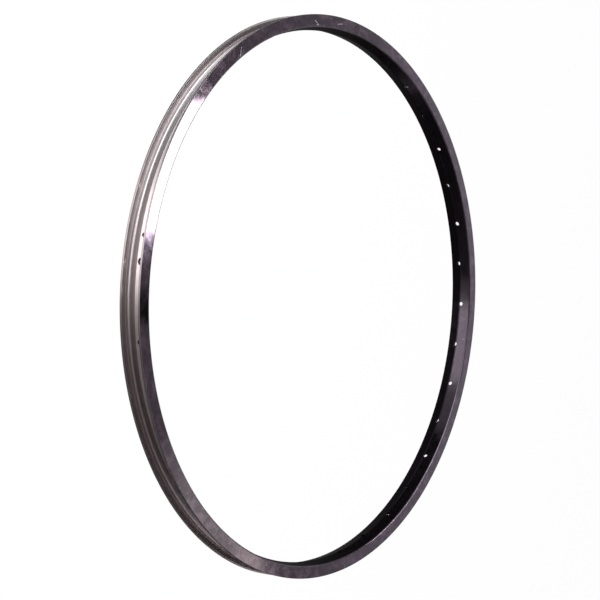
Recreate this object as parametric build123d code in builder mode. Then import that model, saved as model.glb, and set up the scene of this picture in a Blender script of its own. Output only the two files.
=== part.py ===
from build123d import *
import os
from math import degrees

os.makedirs("parts", exist_ok=True)

# Single-wall clincher rim, rolled from one extruded aluminium section and closed
# by two sleeves pressed into its hollow shoulders. The hoop lies flat: its axis
# is Z, the valve hole is on +X and the seam is on -X.

# Tyre fit
bead_seat_diameter = 622.0
flange_height = 6.5

# Depths of the section, each measured on from the one before, towards the hub
seat_drop = 0.6
well_depth = 5.3
floor_drop = 2.2
bed_wall = 2.1
bed_rise = 2.8

# Widths of the section, from the brake sides inwards
rim_width = 26.9
tip_width = 2.3
flange_wall = 1.6
hook_reach = 0.9
hook_depth = 1.7
hook_taper = 1.1
seat_width = 4.0
well_slope = 2.85
ridge_width = 1.6

# Roundings of the section
ridge_rounding = 1.2
corner_rounding = 1.8
tip_rounding = 0.8
hook_rounding = 0.6
seat_rounding = 0.3
mouth_rounding = 2.0
well_rounding = 0.6
floor_rounding = 4.0

# Hollow shoulders and the sleeves in them
duct_wall = 1.4
duct_rounding = 0.8
sleeve_length = 70.0
sleeve_clearance = 0.06

# Seam
seam_gap = 0.15
seam_angle = 180.0

# Drilling
spoke_count = 36
spoke_hole_diameter = 5.0
spoke_offset = 1.5
spoke_lean = 7.0
valve_hole_diameter = 8.5

tip_radius = bead_seat_diameter / 2 + flange_height
half_width = rim_width / 2
mouth_depth = flange_height + seat_drop
well_bottom = mouth_depth + well_depth
floor_depth = well_bottom + floor_drop
bed_depth = floor_depth + bed_wall
side_height = bed_depth - bed_rise
flange_face = half_width - flange_wall
mouth_half_width = flange_face - seat_width
well_half_width = mouth_half_width - well_slope
spoke_pitch = 360 / spoke_count

# Upper half of the section, from the ridge of the bed round the flange to the well:
# depth from the flange tip, height above the middle plane, rounding
upper_corners = [
    (bed_depth, ridge_width / 2, ridge_rounding),
    (side_height, half_width, corner_rounding),
    (0, half_width, tip_rounding),
    (0, half_width - tip_width, tip_rounding),
    (hook_depth, flange_face - hook_reach, hook_rounding),
    (hook_depth + hook_taper, flange_face, hook_rounding),
    (flange_height, flange_face, seat_rounding),
    (mouth_depth, mouth_half_width, mouth_rounding),
    (well_bottom, well_half_width, well_rounding),
]
lower_corners = [(depth, -height, rounding) for depth, height, rounding in reversed(upper_corners)]
floor = (floor_depth, 0, floor_rounding)
section_corners = [*upper_corners, floor, *lower_corners]

# Outline of the solid shoulder that the duct hollows out, with the well side run on to the bed
well_lean = well_slope / well_depth
bed_lean = bed_rise / (half_width - ridge_width / 2)
foot_height = (mouth_half_width - well_lean * (side_height + bed_lean * half_width - mouth_depth)) / (
    1 - well_lean * bed_lean
)
foot_depth = side_height + bed_lean * (half_width - foot_height)
shoulder_corners = [
    (side_height, half_width),
    (flange_height, half_width),
    (mouth_depth, mouth_half_width),
    (foot_depth, foot_height),
]


def at_radius(corners):
    """Section points as radius and height, from corners given by depth and height."""
    return [(tip_radius - corner[0], corner[1]) for corner in corners]


def duct_section(clearance):
    """Upper duct section, smaller all round by the clearance."""
    with BuildSketch() as duct:
        with BuildLine():
            Polyline(at_radius(shoulder_corners), close=True)
        make_face()
        offset(amount=-duct_wall - clearance, kind=Kind.INTERSECTION, mode=Mode.REPLACE)
        fillet(duct.vertices(), duct_rounding - clearance)
    return duct.sketch


upper_duct = duct_section(0)
sleeve_section = duct_section(sleeve_clearance)
duct_radius = upper_duct.face().center().X
seam_arc = degrees(seam_gap / tip_radius)
sleeve_arc = degrees(sleeve_length / duct_radius)
hoop_start = Plane.XZ.rotated((0, 0, seam_angle + seam_arc / 2))
sleeve_start = Plane.XZ.rotated((0, 0, seam_angle - sleeve_arc / 2))

# Drill centres in the middle of the bed wall
drill_radius = tip_radius - floor_depth - bed_wall / 2
drill_reach = bed_wall + floor_drop

# Rim hoop
with BuildPart() as rim_hoop:
    with BuildSketch(hoop_start):
        with BuildLine():
            FilletPolyline(
                at_radius(section_corners),
                radius=[corner[2] for corner in section_corners],
                close=True,
            )
        make_face()
        add(upper_duct, mode=Mode.SUBTRACT)
        add(mirror(upper_duct, about=Plane.XZ, mode=Mode.PRIVATE), mode=Mode.SUBTRACT)
    revolve(axis=Axis.Z, revolution_arc=360 - seam_arc)
    # Spoke holes stand by turns above and below the middle, each leaning to its hub flange
    for side, first_hole in ((1, 0.5), (-1, 1.5)):
        with PolarLocations(drill_radius, spoke_count // 2, start_angle=first_hole * spoke_pitch):
            with Locations(Location((0, 0, side * spoke_offset), (0, 90 + side * spoke_lean, 0))):
                Hole(spoke_hole_diameter / 2, depth=drill_reach)
    with Locations(Location((drill_radius, 0, 0), (0, 90, 0))):
        Hole(valve_hole_diameter / 2, depth=drill_reach)
rim_hoop.part.label = "rim_hoop"
export_step(rim_hoop.part, "parts/rim_hoop.step")

# Joint sleeves, one in each shoulder, half their length on each side of the seam
with BuildPart() as joint_sleeve_upper:
    with BuildSketch(sleeve_start):
        add(sleeve_section)
    revolve(axis=Axis.Z, revolution_arc=sleeve_arc)
joint_sleeve_upper.part.label = "joint_sleeve_upper"
export_step(joint_sleeve_upper.part, "parts/joint_sleeve_upper.step")

with BuildPart() as joint_sleeve_lower:
    add(mirror(joint_sleeve_upper.part, about=Plane.XY, mode=Mode.PRIVATE))
joint_sleeve_lower.part.label = "joint_sleeve_lower"
export_step(joint_sleeve_lower.part, "parts/joint_sleeve_lower.step")
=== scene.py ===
import logging
from collections.abc import Iterator, Mapping, Sequence
from dataclasses import dataclass, field
from enum import Enum, IntEnum
from math import atan2, ceil, cos, degrees, pi, radians, sin, tan
from typing import NamedTuple

import bmesh
import bpy
import numpy as np
from mathutils import Matrix, Quaternion, Vector
from mathutils.geometry import tessellate_polygon


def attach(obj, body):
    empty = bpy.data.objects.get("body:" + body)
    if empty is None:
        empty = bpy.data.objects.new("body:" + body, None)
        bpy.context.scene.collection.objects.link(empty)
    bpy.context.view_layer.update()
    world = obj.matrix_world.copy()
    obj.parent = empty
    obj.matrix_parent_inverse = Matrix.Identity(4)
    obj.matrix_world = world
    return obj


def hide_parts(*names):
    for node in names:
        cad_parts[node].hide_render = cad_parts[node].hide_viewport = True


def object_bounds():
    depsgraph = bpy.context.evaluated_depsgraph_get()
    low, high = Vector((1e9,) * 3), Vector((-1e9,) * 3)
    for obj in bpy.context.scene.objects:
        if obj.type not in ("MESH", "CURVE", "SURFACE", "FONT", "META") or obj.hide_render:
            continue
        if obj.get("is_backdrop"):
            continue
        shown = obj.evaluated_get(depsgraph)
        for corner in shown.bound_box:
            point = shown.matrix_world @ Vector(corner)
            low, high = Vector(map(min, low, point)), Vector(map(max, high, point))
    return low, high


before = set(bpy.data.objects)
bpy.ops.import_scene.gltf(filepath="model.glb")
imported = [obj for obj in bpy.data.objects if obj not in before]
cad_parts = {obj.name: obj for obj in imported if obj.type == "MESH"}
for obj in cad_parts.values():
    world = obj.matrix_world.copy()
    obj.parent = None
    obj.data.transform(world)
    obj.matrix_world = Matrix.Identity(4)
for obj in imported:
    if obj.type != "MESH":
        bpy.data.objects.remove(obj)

LOG = logging.getLogger("bicycle_rim")
CAD_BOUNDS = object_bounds()
MM = 0.001
# Width over the brake sides, in mm
RIM_WIDTH = 26.9
# Radius, in mm, at which lengths along the rim are measured
ARC_RADIUS = 310.0
# Levels between which nearly all of a noise pattern lies
NOISE_LOW, NOISE_HIGH = 0.3, 0.7
# Shares of a scratch's width, from its middle, at which it begins to fade and ends
SCRATCH_CORE, SCRATCH_EDGE = 0.3, 0.7
# Least squared length, in square mm, that an edge is taken to have
TINY_SQUARE = 1e-12

Place = tuple[float, float, float]
Size = tuple[float, float]


class Zone(IntEnum):
    """Surfaces of the hoop, in the order of its material slots."""

    BRAKE_SIDE = 0
    TYRE_SIDE = 1
    SPOKE_BED = 2
    HOLE = 3
    CUT = 4


class Corner(NamedTuple):
    """A corner of the section, and the surface on the edge that follows it."""

    depth: float
    height: float
    rounding: float
    zone: Zone


class OutlinePoint(NamedTuple):
    """A point of the rounded outline, and the surface of the face that follows it."""

    radius: float
    height: float
    normal_radius: float
    normal_height: float
    zone: Zone


def linear(colour: str) -> tuple[float, float, float, float]:
    """Turn an sRGB hex colour into a linear one.

    Args:
        colour: Six hex digits after a hash.

    Returns:
        Linear red, green and blue, and an alpha of 1.
    """
    channels = (int(colour[place:place + 2], 16) / 255 for place in (1, 3, 5))
    red, green, blue = (c / 12.92 if c <= 0.04045 else ((c + 0.055) / 1.055) ** 2.4 for c in channels)
    return red, green, blue, 1.0


def add_node(
    tree: bpy.types.NodeTree,
    kind: str,
    settings: Mapping[str, object] | None = None,
    inputs: Mapping[int | str, object] | None = None,
) -> bpy.types.Node:
    """Add a node to a tree, with its settings and its links.

    Args:
        tree: Tree that takes the node.
        kind: Blender's name for the node type.
        settings: Values of the node's own properties.
        inputs: For each input, a value or the socket that feeds it.

    Returns:
        The new node.
    """
    node = tree.nodes.new(kind)
    for name, value in (settings or {}).items():
        setattr(node, name, value)
    for key, value in (inputs or {}).items():
        if isinstance(value, bpy.types.NodeSocket):
            tree.links.new(value, node.inputs[key])
        else:
            node.inputs[key].default_value = value
    return node


def new_material(name: str) -> tuple[bpy.types.Material, bpy.types.NodeTree]:
    """Make an empty node material.

    Args:
        name: Name of the material.

    Returns:
        The material and its node tree.
    """
    material = bpy.data.materials.new(name)
    material.use_nodes = True
    material.node_tree.nodes.clear()
    return material, material.node_tree


def as_object(body: bmesh.types.BMesh, name: str) -> bpy.types.Object:
    """Turn a mesh that is built up into an object of the scene.

    Args:
        body: The mesh, which is freed.
        name: Name of the object and of its mesh.

    Returns:
        The object.
    """
    mesh = bpy.data.meshes.new(name)
    body.to_mesh(mesh)
    body.free()
    piece = bpy.data.objects.new(name, mesh)
    bpy.context.collection.objects.link(piece)
    return piece


def read_all(items: bpy.types.bpy_prop_collection, name: str, kind: type, width: int = 1) -> np.ndarray:
    """Read one property of every item of a mesh.

    Args:
        items: Vertices, loops, faces or normals of the mesh.
        name: Name of the property.
        kind: Number type of the array.
        width: Numbers that each item has.

    Returns:
        The values, with one row for each item where an item has several numbers.
    """
    values = np.empty(len(items) * width, dtype=kind)
    items.foreach_get(name, values)
    return values.reshape(-1, width) if width > 1 else values


def turn_to(
    thing: bpy.types.Object, place: Place, aim: Place, front: str, roll: float = 0.0, unit: float = 1.0,
) -> None:
    """Put a lamp, a card or the camera in its place and turn its front to a point.

    Args:
        thing: What is placed.
        place: Where it stands.
        aim: Point that its front looks at.
        front: Its own axis that looks ahead.
        roll: Turn about its own Z axis, in degrees.
        unit: Unit of the two places, in metres.
    """
    look = Vector(aim) - Vector(place)
    thing.location = Vector(place) * unit
    thing.rotation_mode = "QUATERNION"
    thing.rotation_quaternion = look.to_track_quat(front, "Y") @ Quaternion((0, 0, 1), radians(roll))


class RimSpace(NamedTuple):
    """Sockets that give a place on the rim in millimetres."""

    place: bpy.types.NodeSocket
    radius: bpy.types.NodeSocket
    height: bpy.types.NodeSocket
    arc: bpy.types.NodeSocket


def rim_space(tree: bpy.types.NodeTree) -> RimSpace:
    """Add the nodes that turn a point of the object into rim coordinates.

    Args:
        tree: Tree that takes the nodes.

    Returns:
        Sockets for the point, its radius, its height and its length along the rim.
    """
    point = add_node(tree, "ShaderNodeTexCoord").outputs["Object"]
    scaled = add_node(tree, "ShaderNodeVectorMath", {"operation": "SCALE"}, {0: point, "Scale": 1 / MM})
    axes = add_node(tree, "ShaderNodeSeparateXYZ", None, {0: scaled.outputs[0]}).outputs
    flat = add_node(tree, "ShaderNodeCombineXYZ", None, {0: axes[0], 1: axes[1]})
    radius = add_node(tree, "ShaderNodeVectorMath", {"operation": "LENGTH"}, {0: flat.outputs[0]})
    angle = add_node(tree, "ShaderNodeMath", {"operation": "ARCTAN2"}, {0: axes[1], 1: axes[0]})
    arc = add_node(tree, "ShaderNodeMath", {"operation": "MULTIPLY"}, {0: angle.outputs[0], 1: ARC_RADIUS})
    return RimSpace(scaled.outputs[0], radius.outputs["Value"], axes[2], arc.outputs[0])


class Scratch(NamedTuple):
    """A straight mark on a brake side, from one place to another, in degrees and mm."""

    angle: float
    radius: float
    end_angle: float
    end_radius: float
    width: float = 0.45
    height: float = RIM_WIDTH / 2

    def mark(self, tree: bpy.types.NodeTree, place: bpy.types.NodeSocket) -> bpy.types.NodeSocket:
        """Add the nodes that mark the scratch, from the distance to its line.

        Args:
            tree: Tree that takes the nodes.
            place: Length along the rim, radius and height.

        Returns:
            Socket that is 1 on the scratch.
        """
        start = Vector((radians(self.angle) * ARC_RADIUS, self.radius, self.height))
        end = Vector((radians(self.end_angle) * ARC_RADIUS, self.end_radius, self.height))
        heading = (end - start).normalized()
        offset = add_node(
            tree, "ShaderNodeVectorMath", {"operation": "SUBTRACT"}, {0: place, 1: start},
        ).outputs[0]
        along = add_node(tree, "ShaderNodeVectorMath", {"operation": "DOT_PRODUCT"}, {0: offset, 1: heading})
        within = add_node(
            tree, "ShaderNodeClamp", None,
            {"Value": along.outputs["Value"], "Min": 0.0, "Max": (end - start).length},
        )
        nearest = add_node(
            tree, "ShaderNodeVectorMath", {"operation": "SCALE"},
            {0: heading, "Scale": within.outputs[0]},
        )
        gap = add_node(
            tree, "ShaderNodeVectorMath", {"operation": "DISTANCE"}, {0: offset, 1: nearest.outputs[0]},
        )
        return add_node(
            tree, "ShaderNodeMapRange", None,
            {
                "Value": gap.outputs["Value"], "From Min": SCRATCH_CORE * self.width,
                "From Max": SCRATCH_EDGE * self.width, "To Min": 1.0, "To Max": 0.0,
            },
        ).outputs[0]


@dataclass(frozen=True)
class BlackAnodised:
    """Black anodised aluminium, extruded and then dyed and sealed.

    The dye takes most of the metal's reflection away, so the eye sees a near-black
    surface that still mirrors lamps. Drawing lines from the die run along the rim,
    handling leaves pale smears, and knocks scrape the dye off.
    """

    name: str
    colour: str
    roughness: float
    line_mm: float = 0.5
    line_bump_mm: float = 0.0
    line_roughness: float = 0.0
    line_shade: float = 0.0
    smear_mm: float = 14.0
    smear_roughness: float = 0.0
    smear_shade: float = 0.0
    smear_low: float = 0.48
    smear_high: float = 0.68
    mottle_mm: float = 3.5
    mottle_shade: float = 0.0
    hair_mm: float = 0.35
    hair_length_mm: float = 9.0
    hair_slant: float = 18.0
    hair_level: float = 0.80
    hair_edge: float = 0.04
    hair_share: float = 0.0
    scraped_colour: str = "#cfcdd2"
    scratches: tuple[Scratch, ...] = ()

    def hairlines(self, tree: bpy.types.NodeTree, place: bpy.types.NodeSocket) -> bpy.types.NodeSocket:
        """Add the nodes for slanting hairlines all over the surface.

        Args:
            tree: Tree that takes the nodes.
            place: Length along the rim, radius and height.

        Returns:
            Socket that is 1 on a hairline.
        """
        long_scale = 1 / self.hair_length_mm
        slanted = add_node(
            tree, "ShaderNodeMapping", None,
            {
                "Vector": place, "Rotation": (0.0, 0.0, radians(self.hair_slant)),
                "Scale": (1 / self.hair_mm, long_scale, long_scale),
            },
        )
        hairs = add_node(
            tree, "ShaderNodeTexNoise", None, {"Vector": slanted.outputs[0], "Scale": 1.0, "Detail": 1.0},
        )
        level = self.hair_level - self.hair_share
        return add_node(
            tree, "ShaderNodeMapRange", None,
            {"Value": hairs.outputs[0], "From Min": level, "From Max": level + self.hair_edge},
        ).outputs[0]

    def scraped(self, tree: bpy.types.NodeTree, space: RimSpace) -> bpy.types.NodeSocket:
        """Add the nodes for hairlines all over and for the single scratches.

        Args:
            tree: Tree that takes the nodes.
            space: Place on the rim.

        Returns:
            Socket that is 1 where the dye is scraped off.
        """
        place = add_node(
            tree, "ShaderNodeCombineXYZ", None, {0: space.arc, 1: space.radius, 2: space.height},
        ).outputs[0]
        scraped = self.hairlines(tree, place)
        for scratch in self.scratches:
            line = scratch.mark(tree, place)
            scraped = add_node(
                tree, "ShaderNodeMath", {"operation": "MAXIMUM"}, {0: scraped, 1: line},
            ).outputs[0]
        return scraped

    def make(self) -> bpy.types.Material:
        """Build the material.

        Returns:
            The finished material.
        """
        material, tree = new_material(self.name)
        space = rim_space(tree)

        across = add_node(tree, "ShaderNodeCombineXYZ", None, {0: space.radius, 1: space.height})
        lines = add_node(
            tree, "ShaderNodeTexNoise", {"noise_dimensions": "2D"},
            {"Vector": across.outputs[0], "Scale": 1 / self.line_mm, "Detail": 3.0, "Roughness": 0.6},
        ).outputs[0]
        smears = add_node(
            tree, "ShaderNodeTexNoise", None,
            {
                "Vector": space.place, "Scale": 1 / self.smear_mm,
                "Detail": 4.0, "Roughness": 0.6, "Distortion": 0.6,
            },
        ).outputs[0]
        mottle = add_node(
            tree, "ShaderNodeTexNoise", None,
            {"Vector": space.place, "Scale": 1 / self.mottle_mm, "Detail": 3.0, "Roughness": 0.65},
        ).outputs[0]

        smear_rough = add_node(
            tree, "ShaderNodeMapRange", None,
            {
                "Value": smears, "From Min": NOISE_LOW, "From Max": NOISE_HIGH,
                "To Min": self.roughness - self.smear_roughness,
                "To Max": self.roughness + self.smear_roughness,
            },
        )
        line_rough = add_node(
            tree, "ShaderNodeMapRange", {"clamp": False},
            {
                "Value": lines, "From Min": NOISE_LOW, "From Max": NOISE_HIGH,
                "To Min": -self.line_roughness, "To Max": self.line_roughness,
            },
        )
        roughness = add_node(
            tree, "ShaderNodeMath", {"operation": "ADD", "use_clamp": True},
            {0: smear_rough.outputs[0], 1: line_rough.outputs[0]},
        )

        dyed = linear(self.colour)[:3]
        for pattern, low, high, darkest, palest in (
            (mottle, NOISE_LOW, NOISE_HIGH, 1 - self.mottle_shade, 1 + self.mottle_shade),
            (lines, NOISE_LOW, NOISE_HIGH, 1 - self.line_shade, 1 + self.line_shade),
            (smears, self.smear_low, self.smear_high, 1.0, 1 + self.smear_shade),
        ):
            shade = add_node(
                tree, "ShaderNodeMapRange", None,
                {"Value": pattern, "From Min": low, "From Max": high, "To Min": darkest, "To Max": palest},
            )
            dyed = add_node(
                tree, "ShaderNodeVectorMath", {"operation": "SCALE"}, {0: dyed, "Scale": shade.outputs[0]},
            ).outputs[0]
        # A mix node takes its two colours at inputs 6 and 7 and gives the mixed one at output 2
        colour = add_node(
            tree, "ShaderNodeMix", {"data_type": "RGBA"},
            {0: self.scraped(tree, space), 6: dyed, 7: linear(self.scraped_colour)},
        )

        bump = add_node(
            tree, "ShaderNodeBump", None,
            {"Strength": 1.0, "Distance": self.line_bump_mm * MM, "Height": lines},
        )
        shader = add_node(
            tree, "ShaderNodeBsdfPrincipled", None,
            {
                "Base Color": colour.outputs[2], "Metallic": 1.0,
                "Roughness": roughness.outputs[0], "Normal": bump.outputs[0],
            },
        )
        add_node(tree, "ShaderNodeOutputMaterial", None, {"Surface": shader.outputs[0]})
        return material


@dataclass(frozen=True)
class MillAluminium:
    """Aluminium as it comes from the extrusion die, cut but not dyed.

    A pale satin metal with fine drawing lines and a faint dull film.
    """

    name: str
    colour: str = "#b9babd"
    roughness: float = 0.38
    line_mm: float = 0.4
    line_bump_mm: float = 0.01
    line_darkest: float = 0.86
    line_palest: float = 1.04
    film_mm: float = 6.0
    film_smoothing: float = 0.06
    film_dulling: float = 0.08

    def make(self) -> bpy.types.Material:
        """Build the material.

        Returns:
            The finished material.
        """
        material, tree = new_material(self.name)
        space = rim_space(tree)
        across = add_node(tree, "ShaderNodeCombineXYZ", None, {0: space.radius, 1: space.height})
        lines = add_node(
            tree, "ShaderNodeTexNoise", {"noise_dimensions": "2D"},
            {"Vector": across.outputs[0], "Scale": 1 / self.line_mm, "Detail": 2.0},
        ).outputs[0]
        film = add_node(
            tree, "ShaderNodeTexNoise", None,
            {"Vector": space.place, "Scale": 1 / self.film_mm, "Detail": 4.0},
        ).outputs[0]
        roughness = add_node(
            tree, "ShaderNodeMapRange", None,
            {
                "Value": film, "From Min": NOISE_LOW, "From Max": NOISE_HIGH,
                "To Min": self.roughness - self.film_smoothing, "To Max": self.roughness + self.film_dulling,
            },
        )
        shade = add_node(
            tree, "ShaderNodeMapRange", None,
            {
                "Value": lines, "From Min": NOISE_LOW, "From Max": NOISE_HIGH,
                "To Min": self.line_darkest, "To Max": self.line_palest,
            },
        )
        colour = add_node(
            tree, "ShaderNodeVectorMath", {"operation": "SCALE"},
            {0: linear(self.colour)[:3], "Scale": shade.outputs[0]},
        )
        bump = add_node(
            tree, "ShaderNodeBump", None,
            {"Strength": 1.0, "Distance": self.line_bump_mm * MM, "Height": lines},
        )
        shader = add_node(
            tree, "ShaderNodeBsdfPrincipled", None,
            {
                "Base Color": colour.outputs[0], "Metallic": 1.0,
                "Roughness": roughness.outputs[0], "Normal": bump.outputs[0],
            },
        )
        add_node(tree, "ShaderNodeOutputMaterial", None, {"Surface": shader.outputs[0]})
        return material


@dataclass
class RimSection:
    """Section of the extrusion, in mm: depths from the flange tip, heights from the middle plane."""

    bead_seat_diameter: float = 622.0
    flange_height: float = 6.5
    seat_drop: float = 0.6
    well_depth: float = 5.3
    floor_drop: float = 2.2
    bed_wall: float = 2.1
    bed_rise: float = 2.8
    rim_width: float = RIM_WIDTH
    tip_width: float = 2.3
    flange_wall: float = 1.6
    hook_reach: float = 0.9
    hook_depth: float = 1.7
    hook_taper: float = 1.1
    seat_width: float = 4.0
    well_slope: float = 2.85
    ridge_width: float = 1.6
    ridge_rounding: float = 1.2
    corner_rounding: float = 1.8
    tip_rounding: float = 0.25
    hook_rounding: float = 0.6
    seat_rounding: float = 0.3
    mouth_rounding: float = 2.0
    well_rounding: float = 0.6
    floor_rounding: float = 4.0
    duct_wall: float = 1.4
    duct_rounding: float = 0.8
    arc_step: float = 15.0

    @property
    def tip_radius(self) -> float:
        """Radius of the flange tips."""
        return self.bead_seat_diameter / 2 + self.flange_height

    @property
    def half_width(self) -> float:
        """Half the width over the brake sides."""
        return self.rim_width / 2

    @property
    def flange_face(self) -> float:
        """Height of the inner face of the flange."""
        return self.half_width - self.flange_wall

    @property
    def mouth_half(self) -> float:
        """Half the width of the mouth of the drop well."""
        return self.flange_face - self.seat_width

    @property
    def mouth_depth(self) -> float:
        """Depth of the mouth of the drop well."""
        return self.flange_height + self.seat_drop

    @property
    def floor_depth(self) -> float:
        """Depth of the middle of the well floor."""
        return self.mouth_depth + self.well_depth + self.floor_drop

    @property
    def bed_depth(self) -> float:
        """Depth of the ridge of the spoke bed."""
        return self.floor_depth + self.bed_wall

    @property
    def side_depth(self) -> float:
        """Depth of the corner between brake side and bed."""
        return self.bed_depth - self.bed_rise

    def corners(self) -> list[Corner]:
        """List the corners of the section, once round it.

        Returns:
            Corners from the upper edge of the bed's ridge, over the upper flange and well, to the lower ones.
        """
        well_half = self.mouth_half - self.well_slope
        tyre = Zone.TYRE_SIDE
        upper = [
            Corner(self.bed_depth, self.ridge_width / 2, self.ridge_rounding, Zone.SPOKE_BED),
            Corner(self.side_depth, self.half_width, self.corner_rounding, Zone.BRAKE_SIDE),
            Corner(0, self.half_width, self.tip_rounding, tyre),
            Corner(0, self.half_width - self.tip_width, self.tip_rounding, tyre),
            Corner(self.hook_depth, self.flange_face - self.hook_reach, self.hook_rounding, tyre),
            Corner(self.hook_depth + self.hook_taper, self.flange_face, self.hook_rounding, tyre),
            Corner(self.flange_height, self.flange_face, self.seat_rounding, tyre),
            Corner(self.mouth_depth, self.mouth_half, self.mouth_rounding, tyre),
            Corner(self.mouth_depth + self.well_depth, well_half, self.well_rounding, tyre),
        ]
        after = [Zone.SPOKE_BED] + [corner.zone for corner in upper[:-1]]
        lower = [
            Corner(corner.depth, -corner.height, corner.rounding, zone)
            for corner, zone in zip(reversed(upper), reversed(after))
        ]
        return [*upper, Corner(self.floor_depth, 0, self.floor_rounding, tyre), *lower]

    def outline(self) -> list[OutlinePoint]:
        """Round the corners into arcs.

        Returns:
            Points of the closed outline with their outward normals.
        """
        corners = self.corners()
        places = [Vector((self.tip_radius - corner.depth, corner.height)) for corner in corners]
        return list(self.rounded(corners, places))

    def rounded(self, corners: Sequence[Corner], places: Sequence[Vector]) -> Iterator[OutlinePoint]:
        """Run round a polygon and round each corner.

        Args:
            corners: Corners with their roundings and surfaces.
            places: The same corners as radius and height.

        Yields:
            Points along the arcs.
        """
        turn = sum(a.cross(b) for a, b in zip(places, [*places[1:], places[0]]))
        outward = 1 if turn > 0 else -1
        for index, corner in enumerate(corners):
            here = places[index]
            into = (here - places[index - 1]).normalized()
            out = (places[(index + 1) % len(places)] - here).normalized()
            bend = atan2(into.cross(out), into.dot(out))
            centre = here - into * abs(corner.rounding * tan(bend / 2))
            side = 1 if bend > 0 else -1
            centre += Vector((-into.y, into.x)) * corner.rounding * side
            steps = max(2, ceil(abs(degrees(bend)) / self.arc_step))
            for step in range(steps + 1):
                heading = atan2(into.y, into.x) + bend * step / steps
                spoke = Vector((sin(heading), -cos(heading)))
                point = centre + spoke * corner.rounding * side
                normal = spoke * outward
                zone = corners[index - 1].zone if step < steps / 2 else corner.zone
                yield OutlinePoint(point.x, point.y, normal.x, normal.y, zone)

    def duct(self) -> list[OutlinePoint]:
        """Find the section of the upper duct, inside its shoulder.

        Returns:
            Points of the closed duct outline.
        """
        well_lean = self.well_slope / self.well_depth
        bed_lean = self.bed_rise / (self.half_width - self.ridge_width / 2)
        run = self.mouth_half - well_lean * (self.side_depth + bed_lean * self.half_width - self.mouth_depth)
        foot_height = run / (1 - well_lean * bed_lean)
        shoulder = [
            Vector((self.side_depth, self.half_width)),
            Vector((self.flange_height, self.half_width)),
            Vector((self.mouth_depth, self.mouth_half)),
            Vector((self.side_depth + bed_lean * (self.half_width - foot_height), foot_height)),
        ]
        inner = []
        for index, here in enumerate(shoulder):
            into = (here - shoulder[index - 1]).normalized()
            out = (shoulder[(index + 1) % len(shoulder)] - here).normalized()
            side = 1 if into.cross(out) > 0 else -1
            inset = self.duct_wall / (1 + into.dot(out))
            shift = (Vector((-into.y, into.x)) + Vector((-out.y, out.x))) * inset * side
            inner.append(here + shift)
        corners = [Corner(place.x, place.y, self.duct_rounding, Zone.CUT) for place in inner]
        return list(self.rounded(corners, [Vector((self.tip_radius - place.x, place.y)) for place in inner]))


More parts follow.
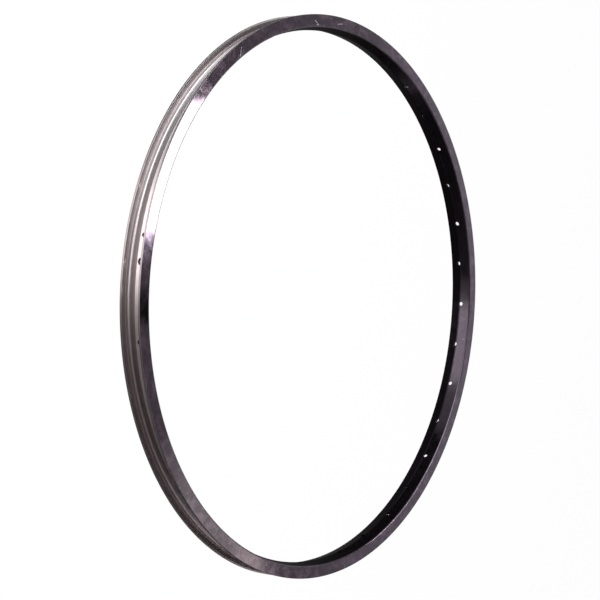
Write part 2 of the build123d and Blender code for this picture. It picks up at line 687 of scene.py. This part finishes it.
@dataclass
class RimHoop:
    """The hoop: the section rolled round, with its seam, its spoke holes and its valve hole."""

    section: RimSection = field(default_factory=RimSection)
    seam_gap: float = 0.15
    seam_angle: float = 180.0
    spoke_count: int = 36
    spoke_hole_diameter: float = 5.0
    spoke_offset: float = 1.5
    spoke_lean: float = 7.0
    valve_hole_diameter: float = 8.5
    rolling_steps: int = 480
    duct_steps: int = 120
    hole_sides: int = 40
    sharp_angle: float = 30.0

    def build(self, finishes: Mapping[Zone, bpy.types.Material]) -> bpy.types.Object:
        """Roll the section, dress and drill it, and give it its true normals.

        Args:
            finishes: Material of each surface.

        Returns:
            The hoop, riding on the root body in place of its CAD node.
        """
        shell = self.roll()
        drill = self.drill()
        for piece in (shell, drill):
            self.dress(piece, finishes)
        cut = shell.modifiers.new("drilling", "BOOLEAN")
        cut.object = drill
        cut.operation = "DIFFERENCE"
        cut.solver = "EXACT"
        graph = bpy.context.evaluated_depsgraph_get()
        mesh = bpy.data.meshes.new_from_object(shell.evaluated_get(graph))
        mesh.name = "rim_hoop_drilled"
        shell.modifiers.clear()
        rolled = shell.data
        shell.data = mesh
        bpy.data.meshes.remove(rolled)
        bpy.data.meshes.remove(drill.data)
        self.set_normals(mesh)
        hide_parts("rim_hoop")
        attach(shell, "root")
        return shell

    def roll(self) -> bpy.types.Object:
        """Sweep the outline and the ducts round the axis and close the two ends.

        Returns:
            The undrilled hoop.
        """
        duct = self.section.duct()
        mirrored = [point._replace(height=-point.height) for point in duct]
        body = bmesh.new()
        ends: list[list[list[bmesh.types.BMVert]]] = [[], []]
        for loop, steps in (
            (self.section.outline(), self.rolling_steps),
            (duct, self.duct_steps),
            (mirrored, self.duct_steps),
        ):
            rings = self.sweep(body, loop, steps)
            ends[0].append(rings[0])
            ends[1].append(rings[-1])
        for loops in ends:
            verts = [vert for loop in loops for vert in loop]
            for triangle in tessellate_polygon([[vert.co for vert in loop] for loop in loops]):
                face = body.faces.new([verts[index] for index in triangle])
                face.material_index = Zone.CUT
        bmesh.ops.recalc_face_normals(body, faces=body.faces)
        for face in body.faces:
            face.smooth = True
        return as_object(body, "anodised_rim_hoop")

    def sweep(
        self, body: bmesh.types.BMesh, loop: Sequence[OutlinePoint], steps: int,
    ) -> list[list[bmesh.types.BMVert]]:
        """Sweep one closed loop round the axis, from one side of the seam to the other.

        Args:
            body: Mesh that takes the faces.
            loop: Points of the loop.
            steps: Number of faces along the sweep.

        Returns:
            The rings of vertices, in order.
        """
        gap = self.seam_gap / self.section.tip_radius
        start = radians(self.seam_angle) + gap / 2
        rings = []
        for step in range(steps + 1):
            angle = start + (2 * pi - gap) * step / steps
            rings.append([
                body.verts.new((
                    point.radius * cos(angle) * MM, point.radius * sin(angle) * MM, point.height * MM,
                ))
                for point in loop
            ])
        for ring, onward in zip(rings, rings[1:]):
            for index, point in enumerate(loop):
                follow = (index + 1) % len(loop)
                face = body.faces.new((ring[index], ring[follow], onward[follow], onward[index]))
                face.material_index = point.zone
        return rings

    def drill(self) -> bpy.types.Object:
        """Make the drills of all the holes as one mesh.

        Returns:
            The drills, in their places.
        """
        section = self.section
        centre = section.tip_radius - section.floor_depth - section.bed_wall / 2
        length = 2 * (section.bed_wall + section.floor_drop)
        pitch = 360 / self.spoke_count
        # The valve hole lies midway between two spoke holes
        holes = [(0.0, 0.0, 0.0, self.valve_hole_diameter)]
        for count in range(self.spoke_count):
            side = 1 if count % 2 == 0 else -1
            holes.append((
                (count + 0.5) * pitch, side * self.spoke_offset, side * self.spoke_lean,
                self.spoke_hole_diameter,
            ))
        body = bmesh.new()
        for angle, offset, lean, diameter in holes:
            # Each drill is turned from Z to the radius, with its lean
            place = (
                Matrix.Rotation(radians(angle), 4, "Z")
                @ Matrix.Translation((centre * MM, 0, offset * MM))
                @ Matrix.Rotation(radians(90 + lean), 4, "Y")
            )
            bmesh.ops.create_cone(
                body, cap_ends=True, segments=self.hole_sides, radius1=diameter / 2 * MM,
                radius2=diameter / 2 * MM, depth=length * MM, matrix=place,
            )
        for face in body.faces:
            face.material_index = Zone.HOLE
            face.smooth = True
        drills = as_object(body, "rim_drills")
        drills.hide_render = True
        return drills

    def exact_normals(self, places: np.ndarray) -> np.ndarray:
        """Find the section's own normals at points of the hoop.

        Args:
            places: Points in mm, one in each row.

        Returns:
            Unit normals, one in each row.
        """
        radius = np.hypot(places[:, 0], places[:, 1])
        outline = np.array([point[:4] for point in self.section.outline()])
        nearest = np.full(len(places), np.inf)
        normal = np.zeros((len(places), 2))
        for start, onward in zip(outline, np.roll(outline, -1, axis=0)):
            along = onward[:2] - start[:2]
            out = radius - start[0]
            up = places[:, 2] - start[1]
            share = (out * along[0] + up * along[1]) / max(along @ along, TINY_SQUARE)
            share = np.clip(share, 0, 1)
            gap = np.hypot(out - share * along[0], up - share * along[1])
            nearer = gap < nearest
            nearest[nearer] = gap[nearer]
            mixed = start[2:] + share[nearer, None] * (onward[2:] - start[2:])
            normal[nearer] = mixed / np.linalg.norm(mixed, axis=1)[:, None]
        return np.column_stack((normal[:, :1] * places[:, :2] / radius[:, None], normal[:, 1]))

    def set_normals(self, mesh: bpy.types.Mesh) -> None:
        """Give the rolled surfaces the exact normals of the section.

        Args:
            mesh: The drilled hoop.
        """
        mesh.set_sharp_from_angle(angle=radians(self.sharp_angle))
        exact = self.exact_normals(read_all(mesh.vertices, "co", np.float64, 3) / MM)
        corner_normals = read_all(mesh.corner_normals, "vector", np.float32, 3)
        corner_verts = read_all(mesh.loops, "vertex_index", np.int32)
        zones = read_all(mesh.polygons, "material_index", np.int32)
        sizes = read_all(mesh.polygons, "loop_total", np.int32)
        rolled = np.repeat(zones, sizes) < Zone.HOLE
        corner_normals[rolled] = exact[corner_verts[rolled]]
        mesh.normals_split_custom_set(corner_normals.tolist())

    def dress(self, piece: bpy.types.Object, finishes: Mapping[Zone, bpy.types.Material]) -> None:
        """Give a piece the slots of all the surfaces.

        Args:
            piece: The rolled hoop or its drills.
            finishes: Material of each surface.
        """
        for zone in Zone:
            piece.data.materials.append(finishes[zone])


@dataclass
class JointSleeves:
    """The two sleeves pressed into the shoulders at the seam."""

    nodes: tuple[str, str] = ("joint_sleeve_upper", "joint_sleeve_lower")

    def dress(self, metal: bpy.types.Material) -> None:
        """Put the bare metal on both sleeves.

        Args:
            metal: Finish of the sleeves.
        """
        for name in self.nodes:
            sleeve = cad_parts[name]
            sleeve.data.materials.clear()
            sleeve.data.materials.append(metal)


@dataclass(frozen=True)
class Softbox:
    """A soft lamp: a lit panel that the camera doesn't see."""

    name: str
    place: Place
    aim: Place
    size: Size
    radiance: float
    colour: str = "#ffffff"

    def build(self) -> bpy.types.Object:
        """Set the lamp up.

        Returns:
            The lamp.
        """
        lamp = bpy.data.lights.new(self.name, "AREA")
        lamp.shape = "RECTANGLE"
        lamp.size, lamp.size_y = self.size
        # A flat lamp's power is its radiance times pi times its area
        lamp.energy = self.radiance * pi * self.size[0] * self.size[1]
        lamp.color = linear(self.colour)[:3]
        box = bpy.data.objects.new(self.name, lamp)
        turn_to(box, self.place, self.aim, "-Z")
        box.visible_camera = False
        bpy.context.collection.objects.link(box)
        return box


class Card(Enum):
    """Greys of the matt cards that a studio stands in reflections."""

    COAL = "#484445"
    DARK = "#8a8385"
    MID = "#b8b0b2"
    GREY = "#dad0d5"

    def make(self) -> bpy.types.Material:
        """Build the material.

        Returns:
            The finished material.
        """
        material, tree = new_material(f"matt_card_{self.name.lower()}")
        paper = add_node(tree, "ShaderNodeBsdfDiffuse", None, {"Color": linear(self.value)})
        add_node(tree, "ShaderNodeOutputMaterial", None, {"Surface": paper.outputs[0]})
        return material


def lay_panel(name: str, size: Size, material: bpy.types.Material) -> bpy.types.Object:
    """Make a flat panel for the floor or for a card.

    Args:
        name: Name of the panel.
        size: Its two sides, in metres.
        material: What it is made of.

    Returns:
        The panel, facing up at the origin.
    """
    body = bmesh.new()
    # A grid's size is half its side
    bmesh.ops.create_grid(body, x_segments=1, y_segments=1, size=0.5)
    bmesh.ops.scale(body, vec=(*size, 1.0), verts=body.verts)
    panel = as_object(body, name)
    panel.data.materials.append(material)
    return panel


@dataclass(frozen=True)
class Flag:
    """A card beside the set that only reflections see, as a studio uses to shape them."""

    name: str
    place: Place
    aim: Place
    size: Size
    card: Card

    def build(self, paper: bpy.types.Material) -> bpy.types.Object:
        """Stand the card up.

        Args:
            paper: Material of the card.

        Returns:
            The card.
        """
        flag = lay_panel(self.name, self.size, paper)
        turn_to(flag, self.place, self.aim, "Z")
        flag.visible_camera = False
        flag.visible_diffuse = False
        flag.visible_shadow = False
        flag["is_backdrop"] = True
        return flag


def seen_rays(tree: bpy.types.NodeTree) -> bpy.types.NodeSocket:
    """Add the nodes that tell the rays that show a surface from those that light others.

    Args:
        tree: Tree that takes the nodes.

    Returns:
        Socket that is 1 for camera, glossy and transmission rays, and 0 for the rest.
    """
    path = add_node(tree, "ShaderNodeLightPath")
    seen = path.outputs["Is Camera Ray"]
    for kind in ("Is Glossy Ray", "Is Transmission Ray"):
        seen = add_node(
            tree, "ShaderNodeMath", {"operation": "MAXIMUM"}, {0: seen, 1: path.outputs[kind]},
        ).outputs[0]
    return seen


@dataclass
class Studio:
    """Floor and light round the rim, in metres.

    Front is +X, where the camera is, left is -Y and right is +Y. The camera's roll puts
    left at the top of the picture.
    """

    floor_height: float = -1.25
    floor_size: float = 14.0
    white: str = "#ffffff"
    floor_glow: float = 0.96
    fill_strength: float = 0.5
    softboxes: tuple[Softbox, ...] = (
        # White highlight on the upper brake side, and its fading end
        Softbox("side_glare_box", (-1.5, -0.463, 1.72), (0.0, -0.463, 1.72), (0.354, 0.50), 30.0),
        Softbox("glare_end_box", (-1.5, -0.272, 1.72), (0.0, -0.272, 1.72), (0.028, 0.50), 3.0, "#e2ecff"),
        # Light in the tyre channel
        Softbox("left_low_box", (1.82, -0.41, -0.36), (0.0, 0.0, 0.0), (1.25, 1.54), 3.5),
        Softbox("left_high_box", (0.77, -1.23, 1.22), (0.0, 0.0, 0.0), (2.1, 2.3), 5.0, "#effeff"),
        Softbox("left_back_box", (-0.36, -0.88, 1.65), (0.0, 0.0, 0.0), (1.5, 0.95), 3.2, "#effeff"),
        # Grey sheens on the rest of the upper brake side
        Softbox("warm_fill_box", (-1.5, 0.52, 1.28), (0.0, 0.52, 1.28), (0.34, 0.09), 3.5, "#ffffee"),
        Softbox("mid_fill_box", (-1.5, 0.42, 1.425), (0.0, 0.42, 1.425), (0.24, 0.21), 1.95, "#f6ffee"),
        Softbox("fade_fill_box", (-1.5, 0.33, 1.558), (0.0, 0.33, 1.558), (0.2, 0.055), 1.0, "#f6ffee"),
        Softbox("low_back_box", (-1.5, -0.13, 0.83), (0.0, -0.13, 0.83), (1.25, 0.42), 0.3, "#f0edff"),
    )
    flags: tuple[Flag, ...] = (
        Flag("right_low_card", (0.94, 1.77, -0.675), (0.0, 0.0, -0.675), (4.2, 1.05), Card.COAL),
        Flag("front_right_card", (1.455, 1.221, 1.3), (0.0, 0.0, 1.3), (2.86, 3.0), Card.DARK),
        Flag("back_right_card", (-0.742, 1.749, 1.3), (0.0, 0.0, 1.3), (2.86, 3.0), Card.MID),
        Flag("right_floor_card", (0.0, 2.05, -1.2), (0.0, 2.05, 0.0), (8.0, 3.9), Card.COAL),
        Flag("right_strip_card", (0.92, 1.73, -0.975), (0.0, 0.0, -0.975), (4.2, 0.27), Card.GREY),
        Flag("under_floor_card", (-1.7, -0.45, -1.2), (-1.7, -0.45, 0.0), (4.6, 1.1), Card.COAL),
        Flag("back_floor_card", (-2.2, -2.5, -1.2), (-2.2, -2.5, 0.0), (3.5, 3.0), Card.COAL),
        Flag("left_floor_card", (0.1, -1.85, -1.2), (0.1, -1.85, 0.0), (2.6, 1.7), Card.DARK),
        Flag("upper_card", (-0.65, -2.0, -0.68), (-0.65, 0.0, -0.68), (4.3, 1.05), Card.COAL),
        Flag("glare_edge_card", (-1.52, -0.095, 1.70), (0.0, -0.095, 1.70), (0.095, 0.6), Card.COAL),
        Flag("back_card", (-1.62, 0.0, 1.55), (0.0, 0.0, 1.55), (3.0, 2.1), Card.GREY),
    )

    def build(self) -> None:
        """Lay the floor, light the world and set the lamps and cards up."""
        self.lay_floor()
        self.light_world()
        for softbox in self.softboxes:
            softbox.build()
        papers = {card: card.make() for card in Card}
        for flag in self.flags:
            flag.build(papers[flag.card])

    def lay_floor(self) -> None:
        """Lay the white paper floor, which keeps part of the shadow that falls on it."""
        material, tree = new_material("matt_white_paper")
        paper = add_node(tree, "ShaderNodeBsdfDiffuse", None, {"Color": linear(self.white)})
        glow = add_node(tree, "ShaderNodeEmission", None, {"Color": linear(self.white), "Strength": 1.0})
        share = add_node(
            tree, "ShaderNodeMath", {"operation": "MULTIPLY"}, {0: seen_rays(tree), 1: self.floor_glow},
        )
        both = add_node(
            tree, "ShaderNodeMixShader", None,
            {0: share.outputs[0], 1: paper.outputs[0], 2: glow.outputs[0]},
        )
        add_node(tree, "ShaderNodeOutputMaterial", None, {"Surface": both.outputs[0]})
        floor = lay_panel("studio_floor", (self.floor_size, self.floor_size), material)
        floor.location.z = self.floor_height
        floor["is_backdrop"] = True

    def light_world(self) -> None:
        """Light the world evenly, and keep it white where it is seen."""
        world = bpy.data.worlds.new("studio_world")
        bpy.context.scene.world = world
        world.use_nodes = True
        tree = world.node_tree
        tree.nodes.clear()
        strength = add_node(
            tree, "ShaderNodeMapRange", None,
            {"Value": seen_rays(tree), "To Min": self.fill_strength, "To Max": 1.0},
        )
        sky = add_node(
            tree, "ShaderNodeBackground", None,
            {"Color": linear(self.white), "Strength": strength.outputs[0]},
        )
        add_node(tree, "ShaderNodeOutputWorld", None, {"Surface": sky.outputs[0]})


@dataclass
class Viewpoint:
    """The camera, in millimetres and degrees, and how far it sees, in metres."""

    place: Place = (1357.02, 123.67, 1000.0)
    aim: Place = (15.47, 5.70, -20.99)
    roll: float = 92.51
    lens: float = 88.8
    sensor: float = 36.0
    sight: float = 100.0

    def build(self) -> bpy.types.Object:
        """Set the camera up.

        Returns:
            The camera.
        """
        camera = bpy.data.cameras.new("studio_camera")
        camera.sensor_width = self.sensor
        camera.lens = self.lens
        camera.clip_end = self.sight
        view = bpy.data.objects.new("studio_camera", camera)
        turn_to(view, self.place, self.aim, "-Z", self.roll, MM)
        bpy.context.collection.objects.link(view)
        bpy.context.scene.camera = view
        return view


# Glossy sealed sides: near-black mirrors with handling smears, hairlines and a few scratches. Real
# hairlines are too fine to show, so these come from a coarser pattern, of 0.35 mm.
BRAKE_SIDE_FINISH = BlackAnodised(
    "black_anodised_glossy", "#40383f", 0.07,
    smear_mm=11.0, smear_roughness=0.03, smear_shade=0.75, mottle_shade=0.12, hair_share=0.005,
    scratches=(
        Scratch(-49.7, 313.3, -48.5, 305.6),
        Scratch(-74.5, 311.0, -75.8, 305.6),
        Scratch(-75.8, 305.6, -75.1, 305.9),
        Scratch(-82.6, 309.0, -84.2, 310.5),
    ),
)
# Satin channel with drawing lines along it. Its colour is painted light: it is lighter than the sides' to
# stand in for the strong light that falls in the channel, and because most of it is seen through two or three
# reflections, each of which darkens it. The real lines are too fine to show, so these are drawn about 1 mm
# wide.
TYRE_SIDE_DYE_AND_PAINTED_LIGHT = BlackAnodised(
    "black_anodised_drawn_painted_light", "#9b9192", 0.32,
    line_mm=1.0, line_bump_mm=0.006, line_roughness=0.03, line_shade=0.08, mottle_mm=9.0, mottle_shade=0.06,
)
# Deep black bed, a little duller than the sides, with smears that only change its gloss
SPOKE_BED_FINISH = BlackAnodised(
    "black_anodised_soft_gloss", "#383238", 0.16, smear_roughness=0.05, mottle_shade=0.12,
)
# Drilled before the dye bath, so the walls of the holes are black too. Their colour is darker than the rest
# of the dye, as painted shade inside the holes
HOLE_DYE_AND_PAINTED_SHADE = BlackAnodised("black_anodised_drilled_painted_shade", "#151316", 0.30, mottle_mm=1.5, mottle_shade=0.2)
# Sawn ends and the insides of the ducts: dull grey metal
SAWN_METAL = MillAluminium("sawn_aluminium", "#6d6b6e", 0.42)
# Sleeves as extruded: pale satin metal
SLEEVE_METAL = MillAluminium("mill_aluminium")


def write_sizes() -> None:
    boxes = {
        name: [[float(value) for value in corner] for corner in box]
        for name, box in (("cad", CAD_BOUNDS), ("visual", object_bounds()))
    }


def main() -> None:
    """Build and dress the rim, then the studio round it."""
    logging.basicConfig(level=logging.INFO, format="%(name)s: %(message)s")
    bpy.context.scene.view_settings.view_transform = "Standard"

    hoop = RimHoop().build({
        Zone.BRAKE_SIDE: BRAKE_SIDE_FINISH.make(),
        Zone.TYRE_SIDE: TYRE_SIDE_DYE_AND_PAINTED_LIGHT.make(),
        Zone.SPOKE_BED: SPOKE_BED_FINISH.make(),
        Zone.HOLE: HOLE_DYE_AND_PAINTED_SHADE.make(),
        Zone.CUT: SAWN_METAL.make(),
    })
    LOG.info("%s: %d faces", hoop.name, len(hoop.data.polygons))

    sleeves = JointSleeves()
    sleeves.dress(SLEEVE_METAL.make())
    for name in sleeves.nodes:
        LOG.info("%s: dressed", name)

    studio = Studio()
    studio.build()
    LOG.info("studio: %d lamps, %d cards", len(studio.softboxes), len(studio.flags))
    Viewpoint().build()
    LOG.info("camera: set")
    write_sizes()


if __name__ == "__main__":
    main()
